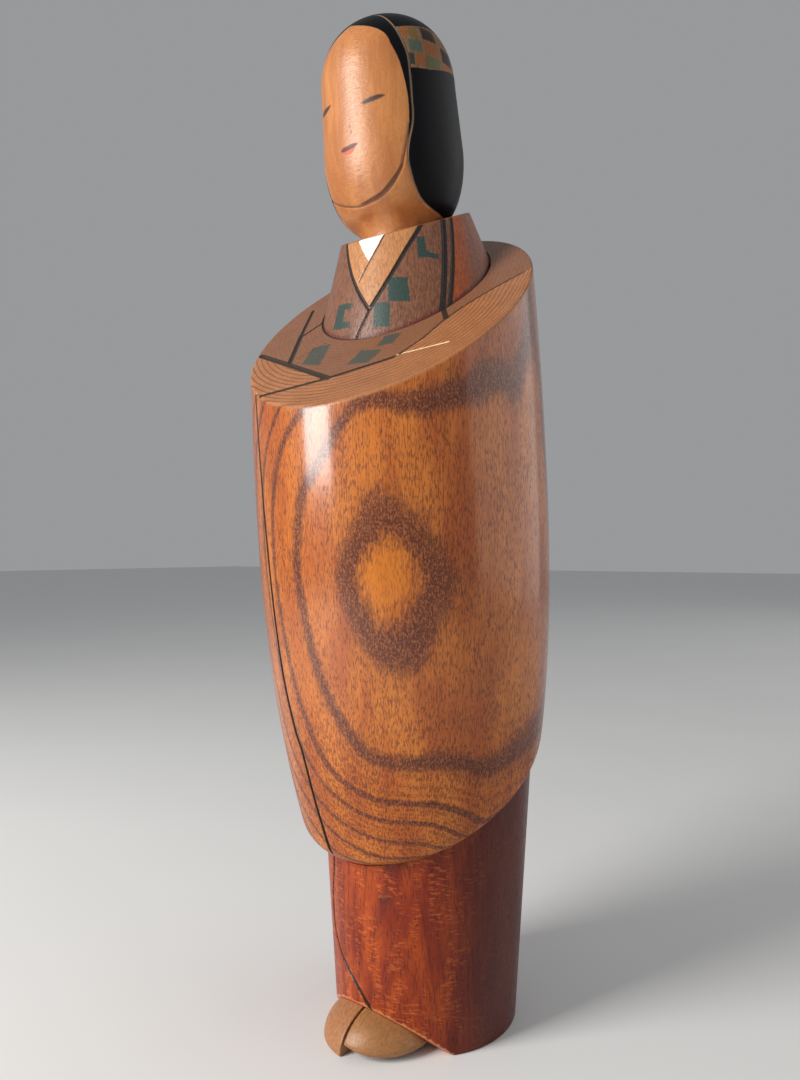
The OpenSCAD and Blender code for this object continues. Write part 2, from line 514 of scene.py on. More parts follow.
def mantle_rows():
    base = mantle_turns()
    # Columns near the incised line follow it; those far from it stay upright
    weight = smooth(0, 1, np.clip(1 - np.abs(base) / 75, 0, 1))
    middle = line_turn(140.0)

    def turn_at(z):
        return base + middle + weight * (line_turn(z) - middle)

    def side(z):
        return MANTLE.out(polar(barrel_r(z), turn_at(z), z))

    ones = np.ones(len(base))
    # The barrel runs from the sloping top down to the rounded lower edge
    rim_z = solve(lambda z: TOP.into(side(z))[:, 2], 120 * ones, 300 * ones)
    edge_reach = float(barrel_r(WAIST_Z)) / cosd(WAIST_TILT) - EDGE_INSET

    edge_middle = np.array([0, EDGE_SHIFT, 0])

    def edge_rise(reach):
        """Height of the rounded edge, and of the flare past it, above the waist joint."""
        a = np.clip((reach - edge_reach + EDGE_R) / EDGE_R, 0, 1)
        return EDGE_R * (1 - np.sqrt(1 - a * a)) + np.maximum(reach - edge_reach, 0)

    def edge_height(p):
        """Height of points above the rounded edge's surface."""
        q = WAIST.into(p) - edge_middle
        return q[:, 2] - edge_rise(reach_of(q))

    low_z = solve(lambda z: edge_height(side(z)), 20 * ones, 160 * ones)
    rim = side(rim_z)
    low = side(low_z)

    # Rounded lower edge, from the barrel in to the flat underside
    q = WAIST.into(low) - edge_middle
    reach = reach_of(q)
    around = turn_of(q)

    def edge(share):
        r = reach + (edge_reach - EDGE_R - reach) * share
        return WAIST.out(polar(r, around, edge_rise(r)) + edge_middle)

    flat_start = edge(1.0)
    bore = WAIST_TENON_R + BORE_CLEAR
    angle = turn_of(flat_start)
    ring = polar(bore, angle, 0 * angle)
    ring[:, 2] = height_on(WAIST, ring)
    bore_top = polar(bore, angle, WAIST_TENON_TOP + 0 * angle)

    rows = [np.zeros((1, 3)) + [0, 0, WAIST_TENON_TOP], bore_top, ring]
    rows += between(ring, flat_start, steps(8))[1:]
    edge_shares = list(np.linspace(1, 0, 26))
    rows += [edge(s) for s in edge_shares[:-6]]
    # The corner between the rounded edge and the barrel is softened over a few mm
    soft = 7
    rows += [edge(s) for s in np.linspace(edge_shares[-6], 0, soft + 1)[:-1]]
    corner = len(rows)
    rows.append(low)
    height = rim_z - low_z
    soft_mm = 3.2
    rows += [side(low_z + soft_mm * (i + 1) / soft) for i in range(soft)]
    bottom = low_z + soft_mm
    crisp_mm = 1.0
    for s in np.linspace(0, 1, 178)[1:]:
        rows.append(side(bottom + (height - soft_mm - crisp_mm) * s))
    crisp = 4
    rows += [side(rim_z - crisp_mm + crisp_mm * (i + 1) / crisp) for i in range(crisp - 1)]
    rim_row = len(rows)
    rows.append(rim)

    # Sloping top, in to the recess round the collar
    along = TOP.matrix[:, 2]
    axis = NECK.matrix[:, 2]
    start = NECK.out(BESIDE_NECK)

    def middle_at(depth):
        p = TOP.origin - along * depth
        return start + axis * (((p - start) @ along) / (axis @ along))

    def outline(depth, gap_r):
        """Where the ray from the middle towards each rim point meets a surface round the neck."""
        c = middle_at(depth)
        target = rim - along * depth
        step = target - c

        def f(s):
            return gap_r(NECK.into(c + step * s[:, None]))
        return c + step * solve(f, 0 * ones, ones)[:, None]

    def cone(q):
        q = q - BESIDE_NECK
        wider = RECESS_GAP + 0.7 * np.maximum(cosd(turn_of(q) - 70), 0) ** 2
        return reach_of(q) - collar_r(q[:, 2]) - wider

    def plug(q):
        return reach_of(q) - PLUG_R - BORE_CLEAR

    recess_top = outline(0, cone)
    recess_low = outline(RECESS_D, cone)
    plug_top = outline(RECESS_D, plug)
    length = np.linalg.norm(recess_top - rim, axis=1)
    crisp_share = crisp_mm / length
    rows += [rim + (recess_top - rim) * (crisp_share * (i + 1) / crisp)[:, None] for i in range(crisp)]
    for s in np.linspace(0, 1, 96)[1:]:
        share = crisp_share + (1 - crisp_share) * s
        rows.append(rim + (recess_top - rim) * share[:, None])
    q = NECK.into(plug_top)
    q[:, 2] = -PLUG_L
    rows += [(recess_top + recess_low) / 2, recess_low, (recess_low + plug_top) / 2, plug_top]
    rows += [NECK.out(q), NECK.out(np.array([[0, 0, -PLUG_L]]))]
    round_corner(rows, rim_row, crisp)
    round_corner(rows, corner, soft)
    return rows


# Turn and height of the middle of the growth rings' bull's-eye, on the doll's left front
EYE_TURN = 27.6
EYE_Z = 144


def ring_depth(p):
    """Depth below the outermost growth ring, in mm; the rest of its numbers fit the rings' outlines."""
    q = MANTLE.into(p)
    z = q[:, 2]
    d = z - EYE_Z
    angle = (turn_of(q) - EYE_TURN + 0.2 * np.clip(d, 0, 40) + 180) % 360 - 180
    back = smooth(75, 180, angle)
    left = 8.7 * (1 - cosd(angle))
    right = np.interp(angle, [0, 4, 8, 10.7, 17, 23.6, 180], [0, 0.024, 0.095, 0.17, 0.33, 0.49, 2.02])
    around = np.where(angle < 0, left, right + 15.38 * back)
    up = 1 - (0.6 * smooth(-10, 55, angle) + 0.27 * smooth(50, 80, angle)) * (1 - back)
    down = 1 - 0.5 * smooth(0, 40, angle) * (1 - back)
    over = np.where(d > 0, 0.00066, 0.00052) * d * d + 0.1 * (1 - np.exp(-(d / 8) ** 2))
    over = over + 0.006 * np.maximum(-50 - d, 0) ** 1.8
    over = over * np.where(d > 0, 1 + 0.45 * smooth(2, -18, angle), 1)
    below = barrel_r(z) - reach_of(q)
    return around + over * np.where(d > 0, up, down) + np.maximum(below, 0)


# Depths where each dark ring starts and ends; further rings follow at an even spacing
RING_EDGES = [0.17, 0.49, 1.5, 1.8, 2.95, 3.2, 4.0, 4.2, 5.35, 5.55, 6.7, 6.95]


def ring_phase(p):
    """Growth rings counted inwards: each is dark over the first quarter of its count."""
    edges = [-0.4] + RING_EDGES + [6.7 + 1.7 * k + w for k in range(1, 40) for w in (0, 0.3)]
    counts = [-0.35] + [k + w for k in range(len(edges) // 2) for w in (0, 0.25)]
    return np.interp(ring_depth(p), edges, counts[:len(edges)])


# Grooves of the sloping top: line, half width, depth
TOP_CUTS = [(TOP_THICK, 0.75, 0.5), (TOP_EDGE, 0.6, 0.45), (TOP_THIN, 0.5, 0.35), (TOP_TAPER, 0.6, 0.4),
            (TOP_BRANCH, 0.4, 0.3), (TOP_GAP, 0.6, 0.5)]
# Black lines of the sloping top: line, half width
TOP_INK = [(TOP_THICK, 1.15), (TOP_EDGE, 0.85), (TOP_THIN, 0.38), (TOP_TAPER, 0.7), (TOP_TAPER[:2], 1.0),
           (TOP_BRANCH, 0.5), ([(18.5, 1), (22, -7), (25.5, -14)], 0.9), ([(-24, -29.3), (-17, -19)], 0.2)]
TOP_STAIN = [(-45, -21), (-24, -33), (-2.1, -46), (16.7, -37.4), (22, -27), (25.5, -14),
             (33, 1), (46, 18), (60, 60), (-60, 60), (-60, -10)]
TOP_CHECKS = [[(-19.1, -33.3), (-21.2, -21.7), (-14.5, -20.4), (-10.8, -36)],
              [(0.5, -38.5), (1.6, -29), (10.1, -30.8), (8.6, -38.5)],
              [(6.3, -28), (6.3, -20.5), (12.3, -19.6), (12.2, -27)]]


def areas(chart, p, outlines):
    return union(*(chart.area(p, outline) for outline in outlines))


def build_mantle():
    points, count, columns = ordered(mantle_rows())
    line = line_distance(points, SIDE_CHART.solid(curve(MANTLE_LINE)))
    q = MANTLE.into(points)
    skin = np.abs(reach_of(q) - barrel_r(q[:, 2])) < 1.5
    p = sunk(points, groove(line, 0.62, 0.5) * skin, MANTLE)
    on_top = np.abs(TOP.into(p)[:, 2]) < 0.6
    p = p - TOP.matrix[:, 2] * (grooves(TOP_CHART, p, TOP_CUTS) * on_top)[:, None]
    piece = lofted("mantle_wood", p, count, columns)
    # by_collar is the way out from the collar, used for painted shade in the recess round it
    beside = NECK.into(points) - BESIDE_NECK
    set_attributes(piece, ring=ring_phase(points), cut=line, low=smooth(118, 76, q[:, 2]),
                   under_top=-TOP.into(points)[:, 2],
                   black=inked(TOP_CHART, points, TOP_INK), stained=TOP_CHART.area(points, TOP_STAIN),
                   checks=areas(TOP_CHART, points, TOP_CHECKS),
                   pale_cut=TOP_CHART.line(points, TOP_GAP) - 0.45,
                   by_collar=reach_of(beside) - collar_r(beside[:, 2]))
    finish_piece(piece, mantle_look(), "figure", "mantle")


def collar_rows():
    turns = np.linspace(-180, 180, 561)[:-1]
    ones = np.ones(len(turns))

    def side(t):
        return NECK.out(polar(collar_r(t), turns, t) + BESIDE_NECK)

    def above_edge(t):
        """Positive past the sloping rim or inside the dish that the head turns in."""
        p = side(t)
        q = NECK.into(p)
        dish = head_r(q[:, 2], HEAD_GAP) - reach_of(q)
        dish = np.where(q[:, 2] > -6, dish, -1)
        return np.maximum(RIM.into(p)[:, 2], dish)

    top_t = solve(above_edge, -20 * ones, 25 * ones)
    low_t = -solve(lambda s: -(TOP.into(side(-s))[:, 2] + RECESS_D), -20 * ones, 68 * ones)
    outer = side(top_t)
    low = side(low_t)

    # Rim, in to the edge of the dish
    inward = RIM.into(NECK.origin + 0 * outer) - RIM.into(outer)
    start = RIM.into(outer)

    def in_dish(s):
        p = NECK.into(RIM.out(start + inward * s[:, None]))
        return head_r(p[:, 2], HEAD_GAP) - reach_of(p)

    share = solve(in_dish, 0 * ones, ones)
    edge = RIM.out(start + inward * share[:, None])
    q = NECK.into(edge)
    around = turn_of(q)
    edge_t = q[:, 2]
    edge_r = reach_of(q)

    def dish(share):
        t = edge_t + (-NECK_DROP - edge_t) * share
        r = head_r(t, HEAD_GAP)
        r = np.where(share < 0.02, edge_r, np.minimum(r, edge_r))
        return NECK.out(polar(r, around, t))

    def ring(r, t):
        return NECK.out(polar(r, around, t + 0 * around))

    rows = [NECK.out(polar(r, turns, -PLUG_L + 0 * turns)) for r in (0.0, PLUG_R)]
    normal = TOP.matrix[:, 2]
    base = NECK.out(polar(PLUG_R, turns, 0 * turns))
    axis = NECK.matrix[:, 2]
    drop = ((TOP.origin - normal * RECESS_D - base) @ normal) / (axis @ normal)
    rows += [base + axis * drop[:, None], low]
    height = top_t - low_t
    rows += [side(low_t + 0.5 * (i + 1) / 3) for i in range(3)]
    for s in np.linspace(0, 1, 150)[1:]:
        rows.append(side(low_t + 0.5 + (height - 1.1) * s))
    rows += [side(top_t - 0.6 + 0.6 * (i + 1) / 3) for i in range(2)]
    rim_row = len(rows)
    rows.append(outer)
    rows += between(outer, edge, [0.06, 0.15, 0.3])
    rows += between(outer, edge, np.linspace(0.3, 1, 9)[1:])
    rows += [dish(s) for s in np.linspace(0.02, 1, 26)]
    rows += [ring(TENON_R + BORE_CLEAR, -NECK_DROP), ring(TENON_R + BORE_CLEAR, -TENON_L - 1),
             ring(0.0, -TENON_L - 1)]
    round_corner(rows, rim_row, 3)
    return rows


# Painted and cut lines of the collar: (turn, height above the neck's base point)
LAPEL_RIGHT = [(-27.5, -5), (-27, -6.7), (-16, -16.6), (-6.4, -24.9), (5, -34)]
LAPEL_LEFT = [(41.5, -4), (40.3, -6.5), (28, -15), (17.2, -23.8), (5, -34)]
INNER_EDGE = [(14, -7), (12.4, -8.8), (1.6, -17.6), (-4.6, -23.4)]
LOWER_EDGE = [(5.4, -34), (2.5, -37.5), (-0.3, -41), (-1.5, -43)]
SEAM_FRONT = [(60.5, 0), (59.5, -3), (46.3, -33.5), (44.5, -38)]
SEAM_BACK = [(68, 0), (67, -3), (50.6, -33.5), (48.8, -38)]
FAINT_LINE = [(86, 0), (85, -1.5), (79.6, -21.5), (77, -30)]
# Grooves: line, half width, depth; black lines: line, half width
COLLAR_CUTS = [(LAPEL_RIGHT, 0.6, 0.4), (LAPEL_LEFT, 0.6, 0.4), (INNER_EDGE, 0.4, 0.25),
               (LOWER_EDGE, 0.5, 0.35), (SEAM_FRONT, 0.45, 0.3), (SEAM_BACK, 0.4, 0.25)]
COLLAR_INK = [(LAPEL_RIGHT, 0.6), (LAPEL_LEFT, 0.8), (INNER_EDGE, 0.25), (LOWER_EDGE, 0.45),
              (SEAM_FRONT, 1.0), (SEAM_BACK, 0.8)]
CHEST = [(-29, -3), (-16, -16.6), (-6.4, -24.9), (5, -34), (17.2, -23.8), (28, -15), (42, -3), (42, 6),
         (-29, 6)]
WHITE_COLLAR = [(-9.8, -8.7), (1.5, -16.8), (11.6, -8.7), (13, 0), (-11, 0)]
# Checks painted on the collar, as outlines of (turn, height)
COLLAR_CHECKS = [[(35.5, -11), (41.5, -11), (41.5, -18.5), (35.5, -18.5)],
                 [(41, -16.2), (49, -17.6), (49, -19.4), (41, -18.6)],
                 [(16.1, -23.7), (27.8, -25.2), (28.4, -33.4), (16.1, -32.5)],
                 [(8, -31.7), (17.3, -33), (17.3, -41.2), (8, -40.3)],
                 [(-20.5, -29.5), (-13, -29.7), (-13.6, -38.3), (-21.5, -37.8)],
                 [(-13.5, -29.6), (-8, -30.3), (-8.3, -32.3), (-13.5, -31.8)],
                 [(-13.8, -35.8), (-7, -36.8), (-7, -38.8), (-14, -38.2)]]


def build_collar():
    points, count, columns = ordered(collar_rows())
    q = NECK.into(points) - BESIDE_NECK
    skin = np.abs(reach_of(q) - collar_r(q[:, 2])) < 0.6
    p = sunk(points, grooves(COLLAR_CHART, points, COLLAR_CUTS) * skin, NECK, BESIDE_NECK)
    piece = lofted("collar_wood", p, count, columns)
    turn, height = COLLAR_CHART.flat(points).T
    set_attributes(piece, black=inked(COLLAR_CHART, points, COLLAR_INK),
                   faint=COLLAR_CHART.line(points, FAINT_LINE) - 0.15,
                   chest=COLLAR_CHART.area(points, CHEST), white=COLLAR_CHART.area(points, WHITE_COLLAR),
                   checks=areas(COLLAR_CHART, points, COLLAR_CHECKS),
                   past_seam=turn - np.interp(height, [-38, 0], [48, 66]),
                   rim=-RIM.into(points)[:, 2], base=TOP.into(points)[:, 2])
    finish_piece(piece, collar_look(), "figure", "collar")


def head_turns():
    """Turns of the head's columns, closer together over the face and the near side of the hair."""
    fine = np.linspace(-62, 112, 372)
    coarse = np.linspace(112, 298, 182)[1:-1]
    return np.concatenate([fine, coarse]) + FACE_TURN


def head_rows():
    turns = head_turns()

    def ring(r, t):
        return NECK.out(polar(r, turns, t + 0 * turns))

    rows = [ring(0.0, JAW_H + SIDE_H + CROWN_H)]
    for a in np.linspace(0, 90, 118)[1:]:
        s, c = max(sind(a), 0), max(cosd(a), 0)
        t = JAW_H + SIDE_H + CROWN_H * c ** (2 / CROWN_POWER)
        rows.append(ring(CROWN_R * s ** (2 / CROWN_POWER), t))
    for t in np.linspace(JAW_H + SIDE_H, JAW_H, 72)[1:]:
        rows.append(ring(float(head_r(t)), t))
    for a in np.linspace(0, 70.4, 80)[1:]:
        rows.append(ring(NECK_R + (HEAD_R - NECK_R) * cosd(a), JAW_H * (1 - sind(a))))
    for t, r in zip(FILLET_T[::-2], FILLET_R[::-2]):
        rows.append(ring(r, t))
    rows.append(ring(NECK_R, -NECK_DROP + HEAD_GAP))
    rows += [ring(TENON_R, -NECK_DROP + HEAD_GAP), ring(TENON_R, -TENON_L), ring(0.0, -TENON_L)]
    return rows


# Painted and carved lines of the head: (turn from the face's middle, height above the neck's base point)
JAW_LINE = [(-62, 17), (-54, 13.3), (-35, 8.3), (-16, 5.3), (1, 4.2), (20, 5.3), (33, 8.1), (41, 11.8),
            (43.5, 14.4), (47, 20), (50.5, 26)]
FACE_EDGE = [(-2, 64.5), (24, 60.3), (37, 56.7), (42.5, 51.7), (47, 47), (50, 41), (51.5, 34.5), (50.7, 27)]
HAIR_BACK = [(47.7, 15.6), (49, 12.3), (53.4, 7.5), (62, 3.8), (78, 1.8), (100.5, 1.1)]
HAIR_LINE = [(0, 69), (18, 67.8), (34, 65.5), (45, 60), (52, 52.5), (54.7, 48), (55, 42), (54.7, 34.6),
             (53.8, 27.6), (49, 20.2)] + HAIR_BACK
JAW_THICK = [(-6, 4.6), (12, 4.3), (22, 4.9), (33, 7.3), (40, 10.8), (44, 15.5), (39.5, 12.4), (32, 9.4),
             (22, 6.6), (8, 5.3)]
RIGHT_EYE = [(13.2, 34.8), (18, 35.7), (24, 36.3), (29, 36.5), (34, 36.0), (30, 35.1), (25, 34.6), (18, 34.2)]
LEFT_EYE = [(-17.5, 39.4), (-24, 40.0), (-32, 40.4), (-40, 40.2), (-41, 39.3), (-34, 38.5), (-25, 38.3)]
MOUTH = [(-9.4, 21.9), (-6, 22.7), (-1, 22.7), (4, 22.9), (8.8, 22.5), (6.5, 21.6), (1, 21.2), (-5, 21.2)]
LOWER_LIP = [(-7.5, 21.6), (-4, 20.3), (0, 19.8), (4.5, 20.4), (6, 21.6), (0, 21.8)]
BAND_LOW = [(47, 44.6), (74, 45.2), (88, 46.6), (104, 48.4), (180, 49.2)]
BAND_HIGH = [(50, 59), (66, 60.2), (79, 61), (180, 61)]


def hair_distance(p):
    """Distance to the carved line round the hair, on either side of the face."""
    other = [(-a, t) for a, t in HAIR_LINE]
    return np.minimum(HEAD_CHART.line(p, HAIR_LINE), HEAD_CHART.line(p, other))


def build_head():
    points, count, columns = ordered(head_rows())
    skin = smooth(TENON_R + 1, TENON_R + 3, reach_of(NECK.into(points)))
    jaw = HEAD_CHART.line(points, JAW_LINE)
    depth = np.maximum(groove(jaw, 0.8, 0.2), groove(hair_distance(points), 0.5, 0.28))
    piece = lofted("head_wood", sunk(points, depth * skin, NECK), count, columns)
    paint_head(piece, points)
    finish_piece(piece, head_look(), "head", "head")


def hair_area(flat):
    """Signed distance to the edge of the hair, negative in the hair; both sides are alike."""
    turn = np.abs(flat[:, 0])
    on_head = np.column_stack([turn, np.clip(flat[:, 1], -1, 70.99)])
    lower = curve([(50.7, 27), (49, 22), (47.6, 18)] + HAIR_BACK + [(140, 1.0), (180, 1.0)])
    loop = np.vstack([curve(FACE_EDGE), lower[1:]])
    edge = HEAD_CHART.solid(np.vstack([[(-3, 64.6)], loop]))
    d = line_distance(HEAD_CHART.solid(on_head), edge)
    region = np.vstack([[(-9, 64.6)], loop, [(190, 1.0), (190, 90), (-9, 90)]])
    return np.where(inside_outline(np.column_stack([turn, flat[:, 1]]), region), -d, d)


def band_area(flat):
    """How far points lie outside the kerchief's band, negative in it."""
    turn, height = np.abs(flat[:, 0]), flat[:, 1]
    line = curve(HAIR_LINE)
    upper = line[line[:, 1] > 40]
    front = np.interp(height, upper[::-1, 1], upper[::-1, 0])
    across = (turn - front) * head_r(height) * math.pi / 180
    low = np.interp(turn, *np.transpose(BAND_LOW))
    high = np.interp(turn, *np.transpose(BAND_HIGH))
    return np.maximum.reduce([low - height, height - high, 0.5 - across])


def paint_head(piece, p):
    flat = HEAD_CHART.flat(p)
    line = HEAD_CHART.line
    area = HEAD_CHART.area
    nostrils = [[(2.5, 28.9), (2.8, 28.6)], [(3.4, 26.9), (3.7, 26.6)]]
    colours, coverage = band_checks(flat)
    set_colours(piece, "check_colour", colours)
    set_attributes(piece, hair=hair_area(flat), carved=hair_distance(p) - 0.26,
                   jaw=union(line(p, JAW_LINE) - 0.28, area(p, JAW_THICK, True)),
                   eyes=union(area(p, LEFT_EYE, True), area(p, RIGHT_EYE, True)),
                   nose=union(*(line(p, dot) for dot in nostrils)) - 0.42,
                   mouth=area(p, MOUTH, True), lip=area(p, LOWER_LIP, True),
                   band=band_area(flat), checks=coverage)


TEAL = (70, 90, 78)
DARK_TEAL = (28, 52, 50)
ORANGE = (142, 82, 44)
OLIVE = (116, 90, 46)
GREEN = (90, 92, 62)
BLACK = (14, 14, 18)
# Checks of the kerchief band: lower and upper height, first and last turn, colour
BAND_CHECKS = [(45.9, 49.7, 55.6, 60.2, DARK_TEAL), (45.9, 49.7, 61, 69.8, ORANGE),
               (45.7, 49.7, 71, 86.5, GREEN),
               (50.4, 54.4, 56.4, 68.5, TEAL), (50.4, 54.6, 69.6, 87, ORANGE), (49.8, 54.9, 90, 106, BLACK),
               (55.2, 59.6, 51.5, 56.5, ORANGE), (55.2, 59.6, 58, 66.5, OLIVE), (55.4, 60.2, 70.5, 86, BLACK)]


def all_checks():
    """The band's checks on the near side, carried on round the back by a repeat."""
    checks = list(BAND_CHECKS)
    pattern = [GREEN, TEAL, ORANGE, BLACK, OLIVE]
    for k in range(5):
        a = 90 + 18.5 * k
        checks.append((45.9, 49.4, a, a + 16, pattern[(k + 2) % 5]))
        checks.append((50.4, 54.6, a + 17.6, a + 33.5, pattern[k % 5]))
        checks.append((55.6, 60.4, a + 1, a + 16, pattern[(k + 4) % 5]))
    return checks


def band_checks(flat):
    """Colour of the nearest check and signed distance to it, in mm."""
    a = np.abs(flat[:, 0])
    t = flat[:, 1]
    best = np.full(len(a), FAR)
    colours = np.ones((len(a), 4))
    for low, high, first, last, colour in all_checks():
        r = float(head_r((low + high) / 2)) * math.pi / 180
        d = np.maximum(np.maximum(low - t, t - high), np.maximum(first - a, a - last) * r)
        nearer = d < best
        best = np.where(nearer, d, best)
        colours[nearer] = srgb(*colour)
    return colours, best


def skirt_rows():
    turns = np.linspace(-180, 180, 521)[:-1]
    ones = np.ones(len(turns))

    def hem_height(p):
        """Height of the sloping hem under points, or the table where that is higher."""
        return np.maximum(height_on(HEM, p), 0)

    def side(z):
        return polar(skirt_r(z), turns, z)

    low_z = solve(lambda z: z - hem_height(side(z)), -1 * ones, 60 * ones)
    top_z = solve(lambda z: WAIST.into(side(z))[:, 2], 20 * ones, 130 * ones)
    low = side(low_z)
    top = side(top_z)
    angle = turn_of(top)
    ring = polar(WAIST_TENON_R, angle, 0 * angle)
    ring[:, 2] = height_on(WAIST, ring)
    rows = []
    for s in list(np.linspace(0, 0.97, 26)) + [0.985]:
        p = low * [s, s, 0]
        p[:, 2] = hem_height(p)
        rows.append(p)
    low_row = len(rows)
    rows.append(low)
    rows += [side(low_z + 0.5 * (i + 1) / 3) for i in range(3)]
    for s in np.linspace(0, 1, 170)[1:]:
        rows.append(side(low_z + 0.5 + (top_z - low_z - 0.9) * s))
    rows += [side(top_z - 0.2), top]
    rows += between(top, ring, [0.05, 0.5, 1.0])
    rows += [polar(r, angle, WAIST_TENON_TOP + 0 * angle) for r in (WAIST_TENON_R, 0.0)]
    round_corner(rows, low_row, 2)
    return rows


# The cut line of the skirt's overlap: (turn, height)
SKIRT_LINE = [(-30, 66), (-31.8, 52.8), (-37.5, 40), (-36.5, 30), (-27, 23), (-14, 17.4), (-5.6, 13), (0, 9)]


def build_skirt():
    points, count, columns = ordered(skirt_rows())
    skin = np.abs(reach_of(points) - skirt_r(points[:, 2])) < 0.6
    line = SKIRT_CHART.line(points, SKIRT_LINE)
    piece = lofted("skirt_wood", sunk(points, groove(line, 0.8, 0.6) * skin, UPRIGHT), count, columns)
    turn, height = SKIRT_CHART.flat(points).T
    # shade darkens the skirt from turn 22 to 72 and on round to the back: painted shade for the side turned
    # away from the window light
    set_attributes(piece, black=line - 0.65, hem=HEM.into(points)[:, 2],
                   arches=0.035 * height + 0.0034 * (turn - 16) ** 2, shade=smooth(22, 72, turn),
                   knot=np.hypot((turn - 9) * 0.55, (height - 47) * 0.8))
    finish_piece(piece, skirt_look(), "figure", "skirt")


def dome_mesh(centre, rounded):
    """The turned dome that the feet are split from, its base edge rounded by that many mm."""
    columns = 120
    turns = np.arange(columns) * 360 / columns
    rows = [polar(0.0, turns, 0 * turns)]
    rows += [polar((FOOT_R - rounded) * s, turns, 0 * turns) for s in np.linspace(0, 1, 12)[1:-1]]
    for a in np.linspace(0, 90, 40):
        r = FOOT_R * max(cosd(a), 0) ** (2 / FOOT_POWER)
        z = FOOT_H * max(sind(a), 0) ** (2 / FOOT_POWER)
        r -= rounded * max(1 - z / max(rounded, 0.01), 0) ** 2
        rows.append(polar(r, turns, z + 0 * turns))
    piece = lofted("dome", *ordered([r + centre for r in rows]))
    bm = bmesh.new()
    bm.from_mesh(piece.data)
    bpy.data.objects.remove(piece)
    return bm


def cut(bm, point, normal):
    """Keeps the side of a plane that its normal points away from, and closes the cut."""
    geometry = bm.verts[:] + bm.edges[:] + bm.faces[:]
    found = bmesh.ops.bisect_plane(bm, geom=geometry, plane_co=Vector(point) * MM, plane_no=Vector(normal),
                                   clear_outer=True, dist=1e-7)
    edges = [e for e in found["geom_cut"] if isinstance(e, bmesh.types.BMEdge)]
    bmesh.ops.contextual_create(bm, geom=edges)


# Light and dark wood of the right foot (-1) and the left (1)
FOOT_COLOURS = {-1: ((166, 114, 74), (142, 90, 54)), 1: ((160, 110, 64), (136, 90, 50))}


def build_foot(name, node, side):
    centre = polar(FEET_REACH, FEET_TURN, 0)
    bm = dome_mesh(centre, LEFT_FOOT_ROUND if side > 0 else 0.4)
    cut(bm, HEM.origin, HEM.matrix[:, 2])
    across = rot_z(FEET_TURN) @ np.array([1, 0, 0])
    cut(bm, across * side * FEET_GAP / 2, across * -side)
    if side > 0:
        lift = math.degrees(math.atan(LEFT_FOOT_LIFT / FOOT_R))
        down = rot_z(FEET_TURN) @ np.array([-sind(lift), 0, -cosd(lift)])
        cut(bm, (0, 0, LEFT_FOOT_LIFT), down)
    mesh = bpy.data.meshes.new(name)
    bm.to_mesh(mesh)
    bm.free()
    piece = bpy.data.objects.new(name, mesh)
    bpy.context.scene.collection.objects.link(piece)
    remesh = piece.modifiers.new("even", "REMESH")
    remesh.mode = "VOXEL"
    remesh.voxel_size = 0.22 * MM
    soften = piece.modifiers.new("soften", "SMOOTH")
    soften.factor = 0.5
    soften.iterations = 5
    bake_modifiers(piece)
    look = foot_look(name + "_look", *FOOT_COLOURS[side])
    finish_piece(piece, look, "figure", node)


def bake_modifiers(piece):
    bpy.context.view_layer.update()
    graph = bpy.context.evaluated_depsgraph_get()
    mesh = bpy.data.meshes.new_from_object(piece.evaluated_get(graph))
    piece.modifiers.clear()
    piece.data = mesh


# ---------------------------------------------------------------- materials
def srgb(r, g, b):
    """Linear colour of an 8-bit screen colour."""
    def linear(c):
        c /= 255
        return c / 12.92 if c <= 0.04045 else ((c + 0.055) / 1.055) ** 2.4
    return (linear(r), linear(g), linear(b), 1.0)


